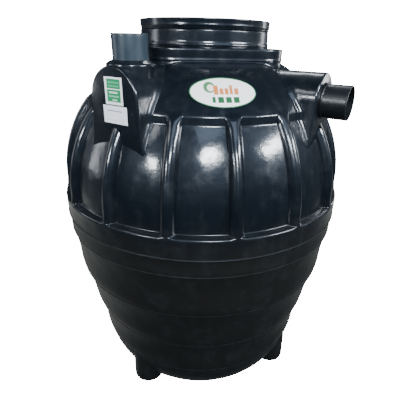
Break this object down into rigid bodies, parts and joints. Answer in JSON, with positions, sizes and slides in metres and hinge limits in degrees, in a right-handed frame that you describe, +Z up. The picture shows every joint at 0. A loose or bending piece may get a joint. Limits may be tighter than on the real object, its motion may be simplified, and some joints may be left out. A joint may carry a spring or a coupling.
{
  "type": "septic tank",
  "caption": "Upright round septic tank with a ribbed dome, banded bowl, neck and lid, an arched inlet box with an upright pipe and an arched outlet box with a level pipe.",
  "frame": {"origin": "on the tank's upright axis, at the ground under the feet", "axes": "+Z up along the tank's axis, -Y towards the side with the label, +X to the right seen from there; the inlet box faces -X -Y and the outlet box +X -Y"},
  "size_m": [1.2, 1.2, 1.5225],
  "materials": {
    "dome_plastic": "satin black polyethylene",
    "bowl_plastic": "dull black polyethylene",
    "pipe_grey": "blue-grey pvc",
    "pipe_black": "black pvc"
  },
  "bodies": {
    "root": {"base_dish": "bowl_plastic", "belt_band": "bowl_plastic", "bowl_band_1": "bowl_plastic", "bowl_band_2": "bowl_plastic", "bowl_band_3": "bowl_plastic", "dome_rib_01": "dome_plastic", "dome_rib_02": "dome_plastic", "dome_rib_03": "dome_plastic", "dome_rib_04": "dome_plastic", "dome_rib_05": "dome_plastic", "dome_rib_06": "dome_plastic", "dome_rib_07": "dome_plastic", "dome_rib_08": "dome_plastic", "dome_rib_09": "dome_plastic", "dome_rib_10": "dome_plastic", "dome_rib_11": "dome_plastic", "dome_rib_12": "dome_plastic", "dome_rib_13": "dome_plastic", "dome_rib_14": "dome_plastic", "dome_rib_15": "dome_plastic", "dome_rib_16": "dome_plastic", "dome_shell": "dome_plastic", "foot_1": "bowl_plastic", "foot_2": "bowl_plastic", "foot_3": "bowl_plastic", "foot_4": "bowl_plastic", "inlet_box": "dome_plastic", "inlet_collar": "dome_plastic", "inlet_pipe": "pipe_grey", "manhole_lid": "dome_plastic", "neck": "dome_plastic", "outlet_box": "dome_plastic", "outlet_collar": "pipe_black", "outlet_pipe": "pipe_black", "shoulder": "dome_plastic", "turret_band": "dome_plastic"}
  },
  "joints": []
}
